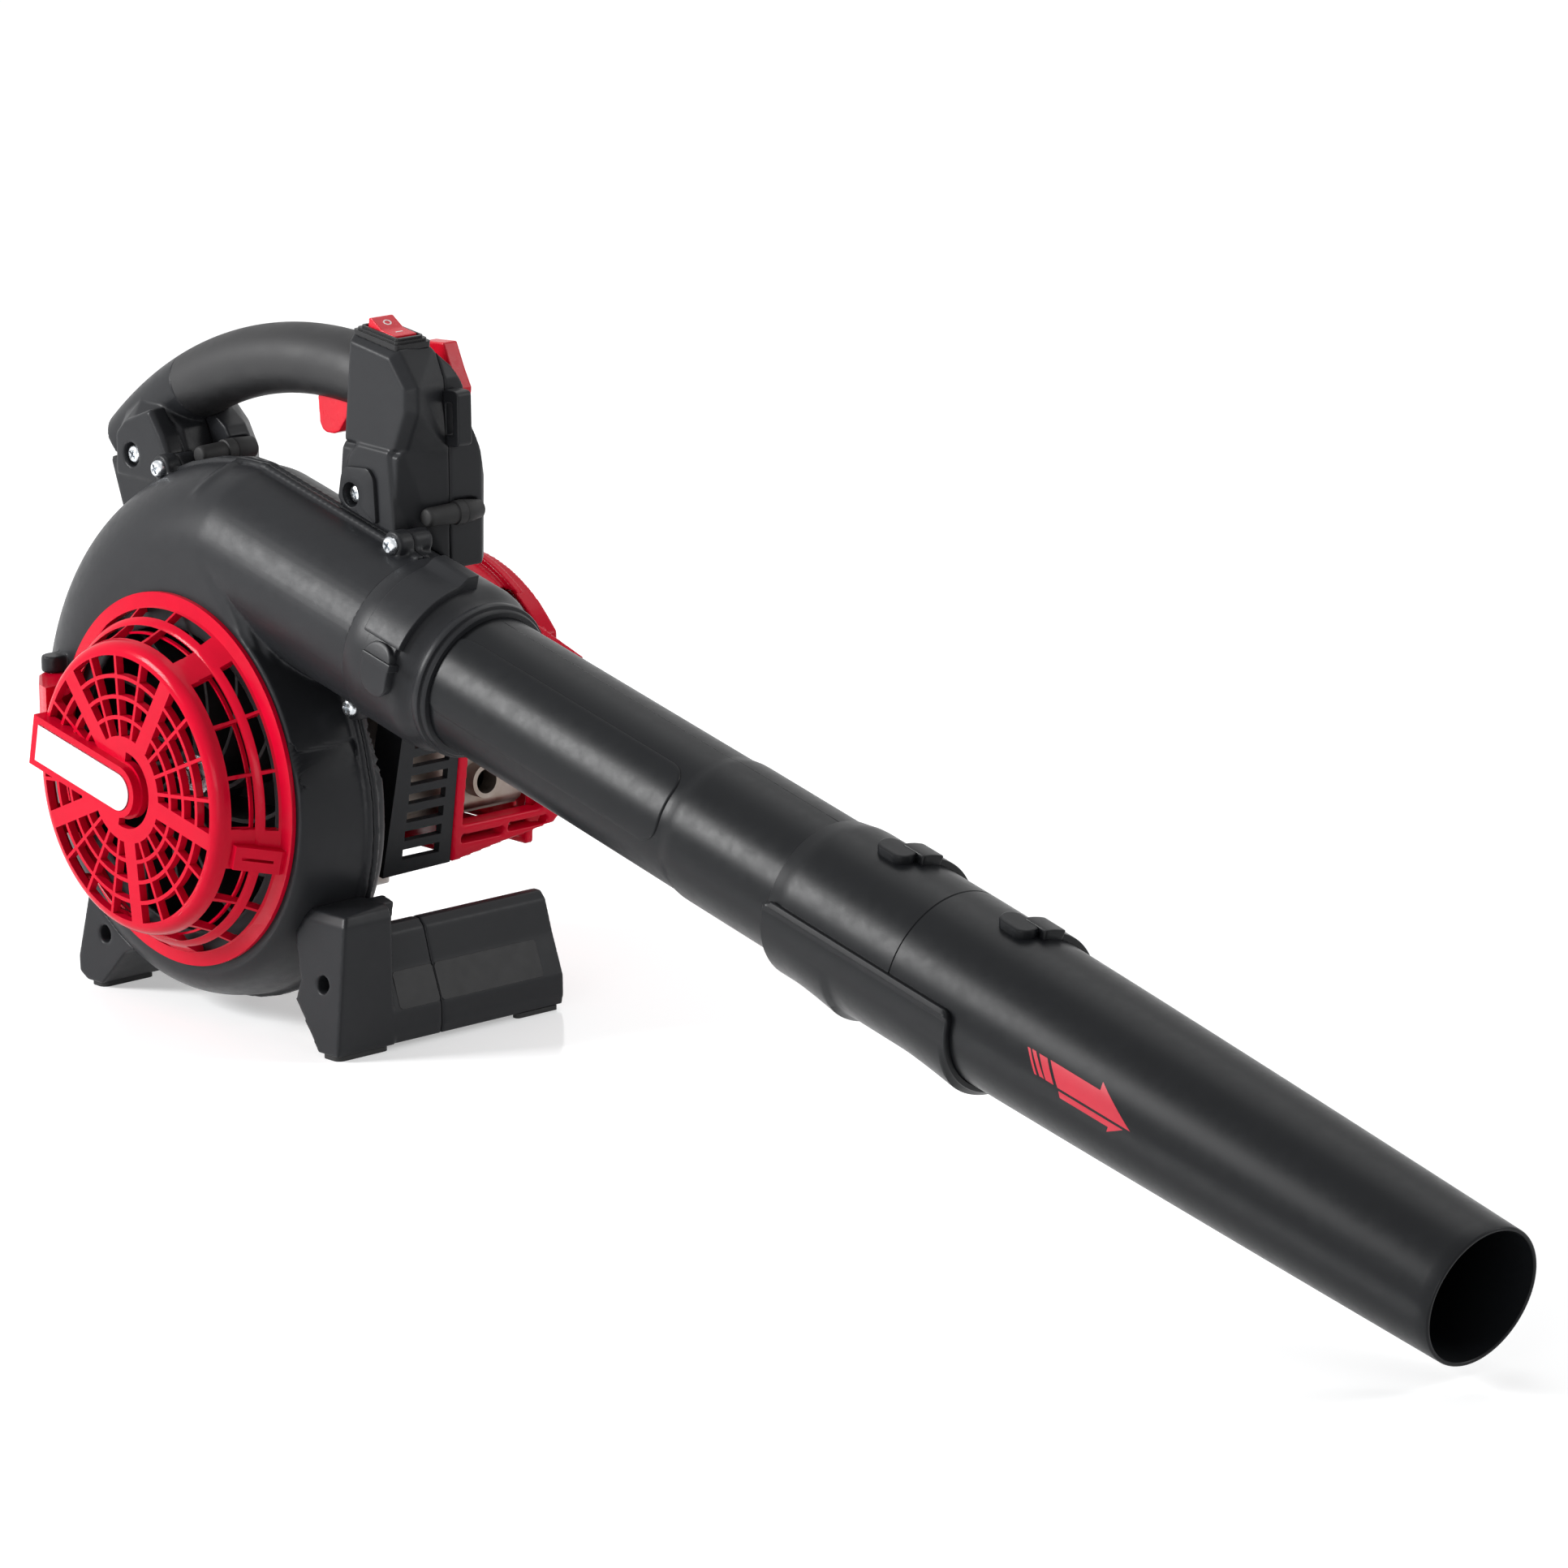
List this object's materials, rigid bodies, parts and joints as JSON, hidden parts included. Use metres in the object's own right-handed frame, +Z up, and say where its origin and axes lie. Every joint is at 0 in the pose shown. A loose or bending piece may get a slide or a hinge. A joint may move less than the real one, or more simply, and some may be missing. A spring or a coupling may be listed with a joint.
{
  "type": "hand-held petrol leaf blower",
  "caption": "Hand-held petrol leaf blower with a looped top handle, fan housing, hinged intake guard, engine and a long sloping blow tube on two feet.",
  "frame": {"origin": "on the ground, at the middle of the whole machine's box", "axes": "+X with the air out of the nozzle, +Z up, +Y towards the engine"},
  "size_m": [1.0142, 0.2486, 0.3681],
  "materials": {
    "shell_plastic": "fine matt grain",
    "tube_plastic": "satin",
    "cover_plastic": "gloss red",
    "grip_rubber": "matt",
    "soft_rubber": "matt",
    "primer_rubber": "satin",
    "steel": "zinc plated",
    "plate_metal": "satin, bare",
    "alloy": "cast",
    "muffler_steel": "heat tinted",
    "gasket": "matt",
    "tank_plastic": "milky",
    "foam": "open foam",
    "fan_plastic": "satin"
  },
  "bodies": {
    "machine": {"volute_front": "shell_plastic", "volute_rear": "shell_plastic", "guard_hinge_pin": "steel", "outlet_collar": "shell_plastic", "tube_first": "tube_plastic", "tube_nozzle": "tube_plastic", "tube_latch": "tube_plastic", "front_foot": "shell_plastic", "front_foot_end": "shell_plastic", "rear_foot": "shell_plastic", "rear_foot_end": "shell_plastic", "foot_pads": "soft_rubber", "handle_near": "shell_plastic", "handle_far": "shell_plastic", "grip_sleeve": "grip_rubber", "trigger_pin": "steel", "switch_bezel": "shell_plastic", "strap_loop": "shell_plastic", "buffers": "soft_rubber", "crankcase": "alloy", "crank_bearings": "steel", "engine_cylinder": "alloy", "spark_plug": "steel", "plug_boot": "soft_rubber", "muffler": "muffler_steel", "muffler_gasket": "gasket", "heat_shield": "shell_plastic", "engine_cover": "cover_plastic", "ignition_coil": "shell_plastic", "starter_housing": "cover_plastic", "starter_handle": "shell_plastic", "intake_insulator": "shell_plastic", "carburettor": "alloy", "filter_base": "shell_plastic", "filter_element": "foam", "filter_cover": "shell_plastic", "fuel_tank": "tank_plastic", "housing_screws": "steel", "handle_screws": "steel", "engine_screws": "steel"},
    "crank": {"crankshaft": "steel", "impeller": "fan_plastic", "impeller_nut": "steel", "flywheel": "alloy"},
    "guard": {"intake_guard": "cover_plastic", "guard_plate": "plate_metal"},
    "pulley": {"starter_pulley": "shell_plastic"},
    "trigger": {"trigger": "cover_plastic"},
    "throttle": {"throttle_arm": "steel"},
    "cruise": {"cruise_lever": "cover_plastic"},
    "switch": {"stop_switch": "cover_plastic"},
    "choke": {"choke_lever": "cover_plastic"},
    "primer": {"primer_bulb": "primer_rubber"},
    "cap": {"fuel_cap": "shell_plastic"}
  },
  "joints": [
    {"name": "crank_spin", "type": "hinge", "parent": "machine", "child": "crank", "pos_m": [-0.36414, -0.0417, 0.126], "axis": [0, 1, 0], "continuous": true},
    {"name": "guard_hinge", "type": "hinge", "parent": "machine", "child": "guard", "pos_m": [-0.46214, -0.0893, 0.153], "axis": [0, 0, -1], "range_deg": [0, 100]},
    {"name": "pulley_spin", "type": "hinge", "parent": "machine", "child": "pulley", "pos_m": [-0.36414, 0.1083, 0.126], "axis": [0, 1, 0], "continuous": true},
    {"name": "trigger_pull", "type": "hinge", "parent": "machine", "child": "trigger", "pos_m": [-0.30614, -0.0107, 0.33], "axis": [0, 1, 0], "range_deg": [0, 16], "stiffness_Nm_per_rad": 0.6, "springref_deg": -14.32},
    {"name": "throttle_turn", "type": "hinge", "parent": "machine", "child": "throttle", "pos_m": [-0.42814, 0.0073, 0.196], "axis": [0, 1, 0], "range_deg": [0, 64]},
    {"name": "cruise_set", "type": "hinge", "parent": "machine", "child": "cruise", "pos_m": [-0.26414, 0.0083, 0.334], "axis": [0, 1, 0], "range_deg": [0, 35]},
    {"name": "switch_rock", "type": "hinge", "parent": "machine", "child": "switch", "pos_m": [-0.25853, -0.0247, 0.35553], "axis": [0, -1, 0], "range_deg": [0, 14]},
    {"name": "choke_turn", "type": "hinge", "parent": "machine", "child": "choke", "pos_m": [-0.45614, 0.0633, 0.16], "axis": [0, 1, 0], "range_deg": [0, 60]},
    {"name": "primer_push", "type": "slide", "parent": "machine", "child": "primer", "axis": [0, -1, 0], "range_m": [0, 0.0035], "stiffness_N_per_m": 400, "springref_m": -0.001},
    {"name": "cap_turn", "type": "hinge", "parent": "machine", "child": "cap", "pos_m": [-0.45014, 0.0563, 0.08], "axis": [0, 0, 1], "range_deg": [0, 270]}
  ],
  "couplings": [
    {"joint": "throttle_turn", "follows": "trigger_pull", "ratio": 4}
  ]
}
